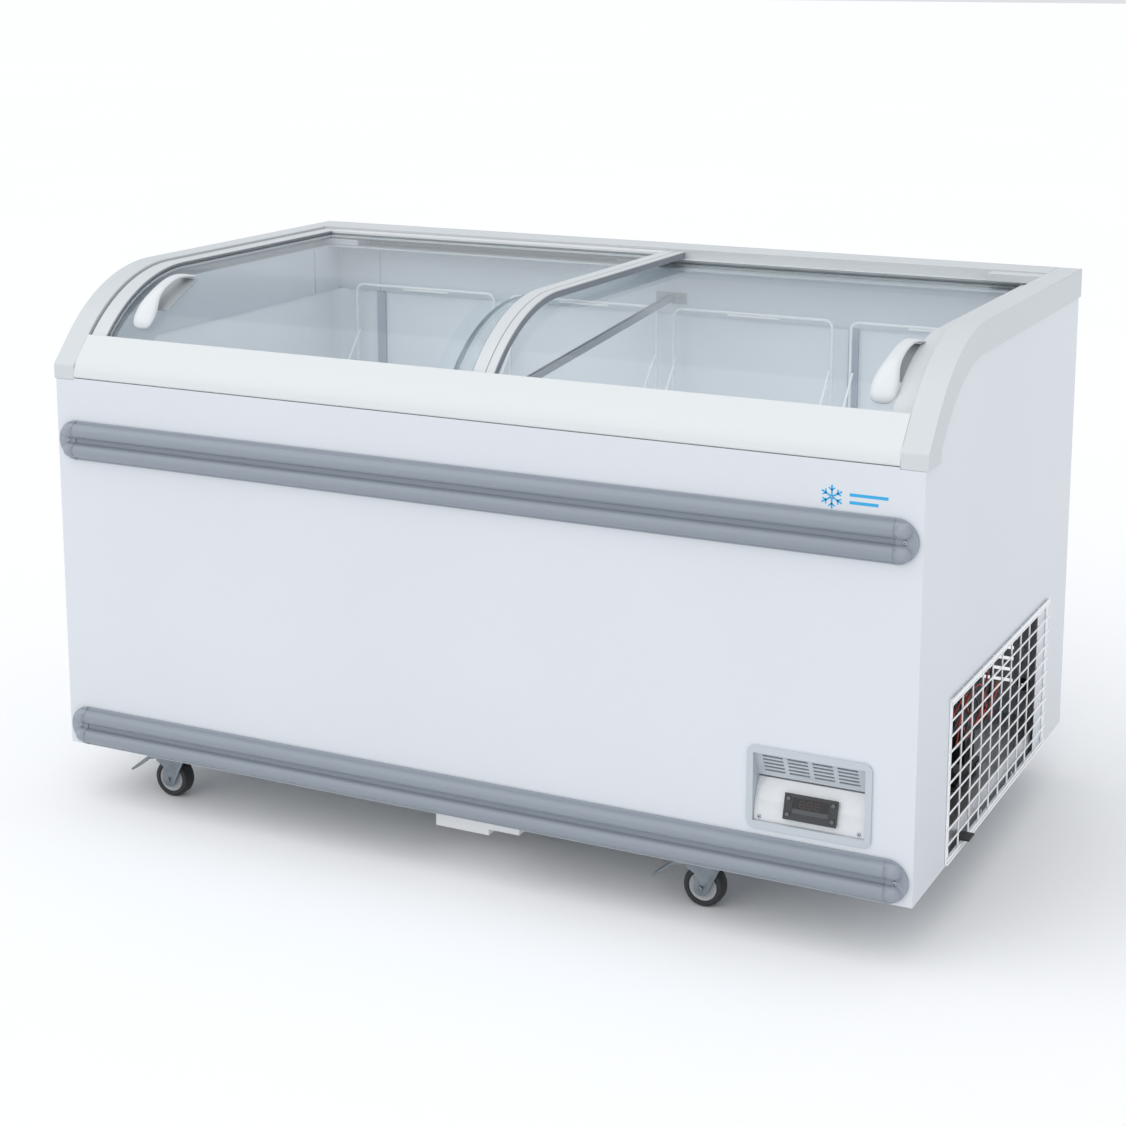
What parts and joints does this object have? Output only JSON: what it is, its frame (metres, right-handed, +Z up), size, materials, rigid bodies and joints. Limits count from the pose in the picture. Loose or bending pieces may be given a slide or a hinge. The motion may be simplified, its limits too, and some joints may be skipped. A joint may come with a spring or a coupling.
{
  "type": "chest display freezer",
  "caption": "Chest display freezer with a curved roofline, sliding curved-glass lids, wire racks, side machine grille, bumper rails and swivel casters.",
  "frame": {"origin": "on the floor, at the middle of the footprint", "axes": "+Z up, +Y to the back, +X to the right seen from the front"},
  "size_m": [1.514, 0.866, 0.9],
  "materials": {
    "white_steel": "smooth white powder coat",
    "galvanised": "galvanised sheet",
    "foam": "rigid foam",
    "liner": "smooth white",
    "aluminium_tube": "drawn tube",
    "grey_lining": "satin grey",
    "trim": "satin pale grey",
    "bumper": "satin grey",
    "bezel": "satin light grey",
    "fascia": "glossy white",
    "dark_plastic": "satin dark grey",
    "grille_wire": "white dipped wire",
    "black_steel": "black enamel",
    "copper": "drawn copper tube",
    "wiring": "insulated wires",
    "black_rubber": "matt black",
    "glass": "clear",
    "handle": "glossy white",
    "zinc": "bright zinc",
    "tread": "grey hub and black tread",
    "rack_wire": "white dipped wire",
    "white_plastic": "satin white"
  },
  "bodies": {
    "cabinet": {"front_panel": "white_steel", "left_side_panel": "white_steel", "right_side_panel": "white_steel", "rear_panel": "white_steel", "base_pan": "galvanised", "foam_insulation": "foam", "inner_liner": "liner", "evaporator_coil": "aluminium_tube", "breaker_panels": "grey_lining", "front_trim": "trim", "rear_track": "trim", "left_end_trim": "trim", "right_end_trim": "trim", "upper_bumper": "bumper", "lower_bumper": "bumper", "bumper_end_caps": "bumper", "screws": "zinc", "control_bezel": "bezel", "control_fascia": "fascia", "thermostat": "dark_plastic", "side_grille": "grille_wire", "compressor": "black_steel", "condenser": "black_steel", "fan_motor": "dark_plastic", "refrigerant_pipes": "copper", "wiring_harness": "wiring", "cable_gland": "black_rubber", "cross_bar": "trim", "drain_pipe": "white_plastic", "caster_plates": "zinc", "conduit_covers": "grey_lining", "wire_rack_1": "rack_wire", "wire_rack_2": "rack_wire", "wire_rack_3": "rack_wire", "wire_rack_4": "rack_wire"},
    "left_lid": {"left_lid_glass": "glass", "left_lid_handle": "handle", "left_lid_side_profiles": "trim", "left_lid_rails": "trim"},
    "right_lid": {"right_lid_glass": "glass", "right_lid_handle": "handle", "right_lid_side_profiles": "trim", "right_lid_rails": "trim"},
    "fork_front_left": {"caster_fork_front_left": "zinc"},
    "wheel_front_left": {"caster_wheel_front_left": "tread"},
    "fork_front_right": {"caster_fork_front_right": "zinc"},
    "wheel_front_right": {"caster_wheel_front_right": "tread"},
    "fork_rear_left": {"caster_fork_rear_left": "zinc"},
    "wheel_rear_left": {"caster_wheel_rear_left": "tread"},
    "fork_rear_right": {"caster_fork_rear_right": "zinc"},
    "wheel_rear_right": {"caster_wheel_rear_right": "tread"},
    "pedal_left": {"brake_pedal_left": "zinc"},
    "pedal_right": {"brake_pedal_right": "zinc"},
    "fan": {"fan_blade": "white_plastic"},
    "button_power": {"button_power": "dark_plastic"},
    "button_up": {"button_up": "dark_plastic"},
    "button_set": {"button_set": "dark_plastic"},
    "button_down": {"button_down": "dark_plastic"},
    "drain_tray": {"drain_tray": "white_plastic"},
    "drain_plug": {"drain_plug": "dark_plastic"}
  },
  "joints": [
    {"name": "left_lid_slide", "type": "slide", "parent": "cabinet", "child": "left_lid", "axis": [1, 0, 0], "range_m": [0, 0.56]},
    {"name": "right_lid_slide", "type": "slide", "parent": "cabinet", "child": "right_lid", "axis": [1, 0, 0], "range_m": [-0.56, 0]},
    {"name": "swivel_front_left", "type": "hinge", "parent": "cabinet", "child": "fork_front_left", "pos_m": [-0.564, -0.339, 0.084], "axis": [0, 0, 1], "continuous": true},
    {"name": "roll_front_left", "type": "hinge", "parent": "fork_front_left", "child": "wheel_front_left", "pos_m": [-0.59, -0.339, 0.0325], "axis": [0, 1, 0], "continuous": true},
    {"name": "swivel_front_right", "type": "hinge", "parent": "cabinet", "child": "fork_front_right", "pos_m": [0.424, -0.339, 0.084], "axis": [0, 0, 1], "continuous": true},
    {"name": "roll_front_right", "type": "hinge", "parent": "fork_front_right", "child": "wheel_front_right", "pos_m": [0.398, -0.339, 0.0325], "axis": [0, 1, 0], "continuous": true},
    {"name": "swivel_rear_left", "type": "hinge", "parent": "cabinet", "child": "fork_rear_left", "pos_m": [-0.564, 0.355, 0.084], "axis": [0, 0, 1], "continuous": true},
    {"name": "roll_rear_left", "type": "hinge", "parent": "fork_rear_left", "child": "wheel_rear_left", "pos_m": [-0.59, 0.355, 0.0325], "axis": [0, 1, 0], "continuous": true},
    {"name": "swivel_rear_right", "type": "hinge", "parent": "cabinet", "child": "fork_rear_right", "pos_m": [0.424, 0.355, 0.084], "axis": [0, 0, 1], "continuous": true},
    {"name": "roll_rear_right", "type": "hinge", "parent": "fork_rear_right", "child": "wheel_rear_right", "pos_m": [0.398, 0.355, 0.0325], "axis": [0, 1, 0], "continuous": true},
    {"name": "brake_left", "type": "hinge", "parent": "fork_front_left", "child": "pedal_left", "pos_m": [-0.61, -0.339, 0.068], "axis": [0, 1, 0], "range_deg": [-10, 0]},
    {"name": "brake_right", "type": "hinge", "parent": "fork_front_right", "child": "pedal_right", "pos_m": [0.378, -0.339, 0.068], "axis": [0, 1, 0], "range_deg": [-10, 0]},
    {"name": "fan_spin", "type": "hinge", "parent": "cabinet", "child": "fan", "pos_m": [0.581, -0.063, 0.1895], "axis": [0, 1, 0], "continuous": true},
    {"name": "press_power", "type": "slide", "parent": "cabinet", "child": "button_power", "axis": [0, 0.9659, -0.2588], "range_m": [0, 0.0009], "stiffness_N_per_m": 400},
    {"name": "press_up", "type": "slide", "parent": "cabinet", "child": "button_up", "axis": [0, 0.9659, -0.2588], "range_m": [0, 0.0009], "stiffness_N_per_m": 400},
    {"name": "press_set", "type": "slide", "parent": "cabinet", "child": "button_set", "axis": [0, 0.9659, -0.2588], "range_m": [0, 0.0009], "stiffness_N_per_m": 400},
    {"name": "press_down", "type": "slide", "parent": "cabinet", "child": "button_down", "axis": [0, 0.9659, -0.2588], "range_m": [0, 0.0009], "stiffness_N_per_m": 400},
    {"name": "drain_tray_slide", "type": "slide", "parent": "cabinet", "child": "drain_tray", "axis": [0, -1, 0], "range_m": [0, 0.14]},
    {"name": "drain_plug_lift", "type": "slide", "parent": "cabinet", "child": "drain_plug", "axis": [0, 0, 1], "range_m": [0, 0.05]}
  ]
}
